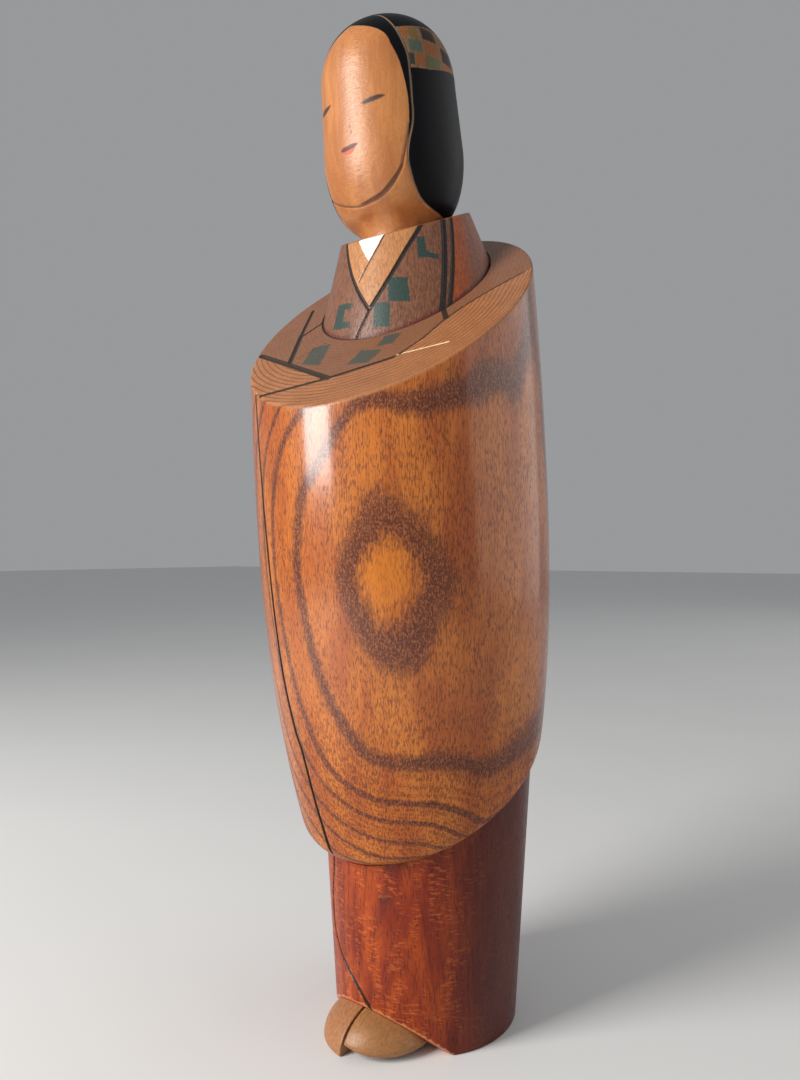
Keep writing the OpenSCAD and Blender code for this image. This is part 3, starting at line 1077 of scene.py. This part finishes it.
class Look:
    """A node material being built; each method adds a node and returns its output."""

    def __init__(self, name, roughness=0.4, coat=0.0, coat_roughness=0.1, specular=0.5):
        self.material = bpy.data.materials.new(name)
        self.material.use_nodes = True
        self.tree = self.material.node_tree
        self.tree.nodes.clear()
        self.shader = self.node("BsdfPrincipled", {
            "Roughness": roughness, "Coat Weight": coat, "Coat Roughness": coat_roughness,
            "Specular IOR Level": specular})
        self.node("OutputMaterial", {0: self.shader.outputs[0]})
        self.place = self.node("TexCoord").outputs["Object"]

    def put(self, socket, value):
        """Links an output to a socket, or stores a value there; a tuple of three is a screen colour."""
        if isinstance(value, bpy.types.NodeSocket):
            self.tree.links.new(value, socket)
        elif isinstance(value, tuple) and len(value) == 3:
            socket.default_value = srgb(*value)
        else:
            socket.default_value = value

    def set(self, name, value):
        self.put(self.shader.inputs[name], value)

    def node(self, kind, inputs=(), **settings):
        node = self.tree.nodes.new("ShaderNode" + kind)
        for name, value in settings.items():
            setattr(node, name, value)
        for name, value in dict(inputs).items():
            self.put(node.inputs[name], value)
        return node

    def math(self, operation, a, b=0.0):
        return self.node("Math", {0: a, 1: b}, operation=operation).outputs[0]

    def add(self, a, b):
        return self.math("ADD", a, b)

    def times(self, a, b):
        return self.math("MULTIPLY", a, b)

    def both(self, a, b):
        return self.math("MAXIMUM", a, b)

    def attribute(self, name, output="Fac"):
        return self.node("Attribute", attribute_name=name).outputs[output]

    def noise(self, size, detail=2.0, distortion=0.0, turn=0):
        """Noise with features of size mm, from 0 to 1 round 0.5."""
        size = size if isinstance(size, tuple) else (size,) * 3
        scaled = self.node("Mapping", {
            "Vector": self.place, "Scale": [1 / (s * MM) for s in size],
            "Rotation": [0, 0, math.radians(turn)]})
        noise = self.node("TexNoise", {
            "Vector": scaled.outputs[0], "Scale": 1.0, "Detail": detail, "Roughness": 0.5,
            "Distortion": distortion})
        return noise.outputs["Fac"]

    def waver(self, size, amount):
        """Noise round 0, from half the amount below to half above."""
        return self.times(self.add(self.noise(size), -0.5), amount)

    def step(self, value, low, high):
        """0 below low, 1 above high; it falls instead where low is above high."""
        rising = low < high
        return self.node("MapRange", {
            "Value": value, "From Min": min(low, high), "From Max": max(low, high),
            "To Min": float(not rising), "To Max": float(rising)},
            interpolation_type="SMOOTHSTEP").outputs["Result"]

    def span(self, value, low, high):
        """Maps 0..1 to low..high."""
        return self.node("MapRange", {"Value": value, "To Min": low, "To Max": high}).outputs["Result"]

    def mix(self, share, a, b):
        """Colour a at share 0 and b at share 1; 6, 7 and 2 are the node's colour sockets."""
        return self.node("Mix", {"Factor": share, 6: a, 7: b}, data_type="RGBA").outputs[2]

    def over(self, below, share, most, colour):
        """A colour laid over another by a share of at most that amount."""
        return self.mix(self.times(share, most), below, colour)

    def ramp(self, value, stops):
        """Greys over positions: stops are (position, grey)."""
        node = self.node("ValToRGB", {0: value})
        elements = node.color_ramp.elements
        while len(elements) < len(stops):
            elements.new(0.5)
        for element, (position, grey) in zip(elements, stops):
            element.position = position
            element.color = (grey, grey, grey, 1)
        return node.outputs["Color"]

    def bump(self, height, distance, strength=1.0, on_coat=True):
        """Bumps of a height of distance mm, on top of any set before."""
        inputs = {"Strength": strength, "Distance": distance * MM, "Height": height}
        before = self.shader.inputs["Normal"].links
        if before:
            inputs["Normal"] = before[0].from_socket
        bumped = self.node("Bump", inputs).outputs[0]
        self.set("Normal", bumped)
        if on_coat:
            self.set("Coat Normal", bumped)

    def pores(self, size, low, high):
        """Short dark strokes along the grain: 1 in a pore."""
        return self.step(self.noise(size, detail=1.0), low, high)


def mantle_look():
    k = Look("varnished_wood", coat=1.0, coat_roughness=0.15, specular=0.2)
    warp = k.waver((11, 11, 26), 0.16)
    ragged = k.waver((0.7, 0.7, 2.6), 0.2)
    phase = k.add(k.attribute("ring"), k.add(warp, ragged))
    ring = k.math("FRACT", phase)
    dark = k.ramp(ring, [(0.0, 0.85), (0.05, 1.0), (0.2, 0.9), (0.3, 0.15), (0.45, 0.0), (0.93, 0.0),
                         (0.99, 0.7)])
    # Rows of pores follow the rings; single pores run up the grain
    rows = k.math("SINE", k.times(k.add(phase, k.times(k.noise(2.2), 0.10)), 70.0))
    broken = k.step(k.noise((0.9, 0.9, 1.1), detail=1), 0.35, 0.6)
    rows = k.times(k.step(rows, 0.1, 0.9), broken)
    zigzag = k.math("SINE", k.add(k.times(phase, 30.0), k.times(k.noise((1.5, 1.5, 1.0), detail=1), 9.0)))
    zigzag = k.times(k.step(zigzag, -0.1, 0.8), k.attribute("low"))
    strokes = k.noise((0.33, 0.33, 2.0), detail=1.5)
    crowded = k.step(k.noise((7, 7, 16), detail=2), 0.4, 0.65)
    denser = k.add(k.times(crowded, 0.05), k.add(k.times(rows, 0.08), k.times(zigzag, 0.12)))
    pores = k.step(k.add(strokes, denser), 0.54, 0.66)
    tone = k.noise((9, 9, 40), detail=3)
    gold = k.mix(k.step(tone, 0.3, 0.7), (196, 114, 42), (164, 82, 26))
    streak = k.step(k.noise((0.5, 0.5, 24), detail=2), 0.35, 0.75)
    gold = k.over(gold, streak, 0.4, (136, 54, 14))
    speck = k.noise((0.42, 0.42, 0.8), detail=1)
    purple = k.mix(k.step(speck, 0.45, 0.62), (66, 26, 18), (136, 78, 48))
    core = k.step(phase, 0.06, -0.08)
    gold = k.over(gold, core, 0.7, (200, 116, 34))
    wood = k.mix(k.times(dark, k.span(core, 0.9, 0.0)), gold, purple)
    pores = k.times(pores, k.span(core, 1.0, 0.5))
    wood = k.over(wood, pores, 0.62, (78, 28, 14))
    # The sloping top: bare paler wood outside, a brown stain towards the collar
    top = k.step(k.attribute("under_top"), 0.9, 0.3)
    faint = k.times(dark, k.span(k.noise(9), 0.4, 1.1))
    bare = k.mix(k.noise((6, 6, 6), detail=3), (178, 120, 76), (148, 94, 60))
    bare = k.mix(faint, bare, (98, 58, 40))
    bare = k.over(bare, pores, 0.35, (96, 54, 34))
    stain = k.over((132, 88, 62), k.both(pores, faint), 0.45, (84, 50, 36))
    edge = k.add(k.attribute("stained"), k.waver(0.8, 0.6))
    face = k.mix(k.step(edge, 0.15, -0.15), bare, stain)
    teal = k.add(k.attribute("checks"), k.waver((1.2, 1.2, 4), 1.6))
    face = k.over(face, k.step(teal, 0.3, -0.3), 0.78, (44, 70, 66))
    face = k.over(face, k.step(k.attribute("pale_cut"), 0.12, -0.12), 0.9, (236, 206, 160))
    ink = k.add(k.attribute("black"), k.waver(0.9, 0.4))
    face = k.over(face, k.step(ink, 0.15, -0.15), 0.9, (34, 32, 27))
    # Painted shade: the mantle's top is darkened almost to black in the recess round the collar
    face = k.mix(k.step(k.attribute("by_collar"), 0.9, 0.4), face, (22, 10, 8))
    colour = k.mix(top, wood, face)
    cut = k.attribute("cut")
    side = k.math("SUBTRACT", 1.0, top)
    colour = k.over(colour, k.times(k.step(cut, 1.3, 0.7), side), 0.4, (96, 62, 40))
    line = k.times(k.step(cut, 0.72, 0.56), side)
    colour = k.over(colour, line, 0.97, (9, 7, 6))
    k.set("Base Color", colour)
    k.set("Roughness", k.add(k.span(pores, 0.32, 0.5), k.times(k.noise(6), 0.08)))
    varnish = k.times(k.span(top, 0.8, 0.1), k.span(k.attribute("low"), 1.0, 0.4))
    k.set("Coat Weight", k.times(k.span(line, 1.0, 0.0), varnish))
    k.bump(k.noise((30, 30, 0.5), detail=1), 0.012, 0.35)
    k.bump(k.times(pores, -1.0), 0.05, 0.5, on_coat=False)
    return k.material


def collar_look():
    k = Look("painted_wood", roughness=0.45, coat=0.3, coat_roughness=0.3, specular=0.3)
    grain = k.noise((0.5, 0.5, 12), detail=3)
    pores = k.pores((0.34, 0.34, 3.4), 0.6, 0.7)
    stain = k.mix(k.step(grain, 0.35, 0.65), (124, 82, 58), (98, 57, 39))
    stain = k.over(stain, pores, 0.5, (64, 34, 24))
    back = k.mix(k.step(grain, 0.3, 0.7), (176, 88, 32), (138, 62, 24))
    back = k.over(back, pores, 0.5, (76, 32, 16))
    past = k.attribute("past_seam")
    later = k.mix(k.step(past, 10, 18), back, k.mix(0.4, stain, back))
    colour = k.mix(k.step(past, -1.5, 1.5), stain, later)
    light = k.mix(k.step(grain, 0.35, 0.7), (180, 124, 74), (154, 99, 58))
    light = k.over(light, pores, 0.4, (120, 70, 38))
    colour = k.mix(k.step(k.attribute("chest"), 0.1, -0.1), colour, light)
    # Torn reddish fibres where the collar meets the shoulders
    torn = k.add(k.attribute("base"), k.waver((0.5, 0.5, 1.6), 2.4))
    colour = k.over(colour, k.step(torn, 0.7, 0.2), 0.85, (84, 28, 20))
    inside = k.step(k.attribute("rim"), 0.25, 0.05)
    colour = k.over(colour, inside, 0.7, (150, 92, 56))
    wobble = k.waver(1.0, 0.5)
    colour = k.mix(k.step(k.add(k.attribute("white"), wobble), 0.15, -0.15), colour, (236, 232, 226))
    brushed = k.add(k.waver((1.6, 1.6, 0.35), 1.5), k.attribute("checks"))
    colour = k.over(colour, k.step(brushed, 0.2, -0.2), 0.9, (14, 56, 52))
    colour = k.over(colour, k.step(k.attribute("faint"), 0.15, -0.1), 0.7, (60, 34, 24))
    ink = k.add(k.attribute("black"), k.waver(0.7, 0.3))
    colour = k.over(colour, k.step(ink, 0.14, -0.12), 0.95, (13, 11, 12))
    k.set("Base Color", colour)
    k.set("Roughness", k.add(k.span(pores, 0.4, 0.6), k.times(k.noise(4), 0.1)))
    k.bump(k.times(pores, -1.0), 0.07, 0.6)
    k.bump(k.noise((0.25, 0.25, 5), detail=2), 0.04, 0.4)
    return k.material


def head_look():
    k = Look("head_wood", roughness=0.42, coat_roughness=0.3)
    tone = k.noise((5, 5, 22), detail=2)
    skin = k.mix(k.step(tone, 0.3, 0.7), (184, 120, 66), (162, 98, 50))
    streak = k.step(k.noise((0.45, 0.45, 14), detail=2), 0.42, 0.72)
    skin = k.over(skin, streak, 0.4, (150, 86, 38))
    fleck = k.step(k.noise((0.5, 0.5, 1.6), detail=1), 0.62, 0.72)
    skin = k.over(skin, fleck, 0.25, (140, 78, 38))
    smudge = k.waver(0.6, 0.45)
    skin = k.over(skin, k.step(k.attribute("jaw"), 0.22, -0.22), 0.85, (84, 46, 24))
    skin = k.over(skin, k.step(k.attribute("nose"), 0.25, -0.2), 0.7, (96, 58, 34))
    skin = k.over(skin, k.step(k.add(k.attribute("eyes"), smudge), 0.3, -0.4), 0.92, (40, 34, 30))
    skin = k.over(skin, k.step(k.add(k.attribute("lip"), smudge), 0.3, -0.4), 0.75, (196, 84, 66))
    mouth = k.step(k.add(k.attribute("mouth"), smudge), 0.25, -0.3)
    skin = k.over(skin, mouth, 0.92, (84, 44, 46))
    hair = k.step(k.add(k.attribute("hair"), k.waver(1.2, 0.25)), 0.12, -0.12)
    black = k.mix(k.noise(5), (5, 6, 9), (10, 11, 15))
    colour = k.mix(hair, skin, black)
    band = k.times(k.step(k.attribute("band"), 0.15, -0.15), hair)
    kerchief = k.mix(k.step(k.noise((0.5, 0.5, 6), detail=2), 0.35, 0.7), (134, 104, 78), (106, 78, 56))
    colour = k.mix(band, colour, kerchief)
    ragged = k.waver(0.8, 0.6)
    check = k.times(band, k.step(k.add(k.attribute("checks"), ragged), 0.2, -0.2))
    colour = k.over(colour, check, 0.85, k.attribute("check_colour", "Color"))
    carved = k.step(k.attribute("carved"), 0.14, -0.1)
    colour = k.over(colour, k.times(carved, hair), 0.9, (140, 114, 92))
    k.set("Base Color", colour)
    k.set("Roughness", k.add(k.span(hair, 0.40, 0.38), k.times(k.noise(3), 0.08)))
    painted = k.both(mouth, k.step(k.attribute("lip"), 0.3, -0.3))
    k.set("Coat Weight", k.times(k.span(hair, 0.28, 0.0), k.span(painted, 1.0, 0.2)))
    k.set("Specular IOR Level", k.times(k.span(hair, 0.4, 0.12), k.span(painted, 1.0, 0.5)))
    # Fine lathe ripples, strongest across the face
    ripple = k.noise((2.6, 2.6, 0.95), detail=2, distortion=0.6)
    k.bump(k.times(ripple, k.span(hair, 1.0, 0.15)), 0.16, 0.8)
    k.bump(k.times(fleck, -1.0), 0.03, 0.5)
    return k.material


def skirt_look():
    k = Look("stained_wood", coat=0.2, coat_roughness=0.22, specular=0.2)
    bend = k.waver((9, 9, 40), 1.1)
    rings = k.math("FRACT", k.add(bend, k.attribute("arches")))
    grain = k.ramp(rings, [(0.0, 0.9), (0.1, 0.5), (0.4, 0.12), (0.8, 0.05), (0.97, 0.7)])
    strokes = k.noise((0.4, 0.4, 3.2), detail=2)
    pores = k.step(k.math("ADD", strokes, k.times(grain, 0.07)), 0.54, 0.66)
    tone = k.noise((6, 6, 25), detail=2)
    wood = k.mix(k.step(tone, 0.3, 0.7), (158, 62, 10), (116, 32, 5))
    wood = k.over(wood, grain, 0.5, (96, 22, 5))
    wood = k.over(wood, pores, 0.6, (76, 16, 5))
    curl = k.noise((2.4, 2.4, 0.7), detail=1, distortion=0.6)
    curls = k.times(k.step(curl, 0.5, 0.66), k.step(k.noise((5, 5, 18), detail=1), 0.42, 0.6))
    wood = k.over(wood, curls, 0.35, (214, 112, 44))
    # Painted shade: the skirt's side away from the window light is darkened to a deep red; it stops sharply
    # straight at the back
    wood = k.over(wood, k.attribute("shade"), 0.85, (58, 7, 3))
    knot = k.add(k.attribute("knot"), k.waver(1.6, 4.0))
    wood = k.over(wood, k.step(knot, 2.4, 0.6), 0.55, (50, 22, 20))
    chipped = k.add(k.attribute("hem"), k.waver(0.9, 1.6))
    wood = k.over(wood, k.step(chipped, 0.7, 0.2), 0.85, (198, 124, 82))
    ink = k.add(k.attribute("black"), k.waver(0.9, 0.3))
    wood = k.over(wood, k.step(ink, 0.12, -0.12), 0.96, (12, 8, 7))
    k.set("Base Color", wood)
    k.set("Roughness", k.add(k.span(pores, 0.34, 0.5), k.times(k.noise(5), 0.1)))
    k.bump(k.times(pores, -1.0), 0.05, 0.5)
    k.bump(curl, 0.03, 0.4)
    return k.material


def foot_look(name, light, dark):
    k = Look(name, roughness=0.45, coat=0.15, coat_roughness=0.35, specular=0.35)
    grain = k.noise((0.6, 7, 0.6), detail=3, turn=20)
    wood = k.mix(k.step(grain, 0.3, 0.75), light, dark)
    fleck = k.pores((0.3, 1.8, 0.3), 0.62, 0.72)
    wood = k.over(wood, fleck, 0.12, (116, 72, 40))
    dirt = k.step(k.noise(9, detail=3), 0.45, 0.8)
    wood = k.over(wood, dirt, 0.35, (126, 84, 50))
    k.set("Base Color", wood)
    k.set("Roughness", k.span(grain, 0.38, 0.52))
    k.bump(grain, 0.006, 0.3)
    return k.material


def floor_look():
    k = Look("floor_paper", roughness=0.6)
    k.set("Base Color", k.mix(k.noise(120), (0.70, 0.70, 0.69, 1), (0.74, 0.74, 0.73, 1)))
    return k.material


# ---------------------------------------------------------------- floor, light and camera
LENS_MM = 27.03
CAMERA_MM = (141.9, -234.6, 151)
CAMERA_TURN = 33
CAMERA_PITCH = 0.85


def build_floor():
    bpy.ops.mesh.primitive_plane_add(size=12)
    floor = bpy.context.object
    floor.name = "floor"
    floor.data.materials.append(floor_look())
    floor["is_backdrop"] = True


def add_light(name, turn, rise, distance, width, height, power, colour):
    """A soft panel aimed at the doll's middle, from a turn and a rise in degrees."""
    data = bpy.data.lights.new(name, "AREA")
    data.shape = "RECTANGLE"
    data.size = width
    data.size_y = height
    data.energy = power
    data.color = colour
    lamp = bpy.data.objects.new(name, data)
    bpy.context.scene.collection.objects.link(lamp)
    low, high = (Vector(c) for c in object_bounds())
    target = (low + high) / 2
    direction = Vector((float(sind(turn) * cosd(rise)), float(-cosd(turn) * cosd(rise)), float(sind(rise))))
    lamp.location = target + direction * distance
    lamp.rotation_euler = (-direction).to_track_quat("-Z", "Y").to_euler()


DAYLIGHT = (1.0, 0.98, 0.95)


def build_lights():
    add_light("window", -29, 20, 0.85, 0.33, 0.54, 10.5, DAYLIGHT)
    add_light("room", 124, 17, 1.6, 2.4, 1.5, 10.5, DAYLIGHT)
    world = bpy.data.worlds.new("studio")
    bpy.context.scene.world = world
    world.use_nodes = True
    background = world.node_tree.nodes["Background"]
    background.inputs["Color"].default_value = (0.90, 0.92, 0.95, 1)
    background.inputs["Strength"].default_value = 0.35


def build_camera():
    data = bpy.data.cameras.new("camera")
    data.lens = LENS_MM
    camera = bpy.data.objects.new("camera", data)
    bpy.context.scene.collection.objects.link(camera)
    camera.location = [c * MM for c in CAMERA_MM]
    camera.rotation_euler = (math.radians(90 + CAMERA_PITCH), 0, math.radians(CAMERA_TURN))
    bpy.context.scene.camera = camera


build_camera()
build_floor()
build_lights()
bpy.context.scene.view_settings.view_transform = "Standard"
build_skirt()
build_foot("right_foot_wood", "right_foot", -1)
build_foot("left_foot_wood", "left_foot", 1)
build_mantle()
build_collar()
build_head()
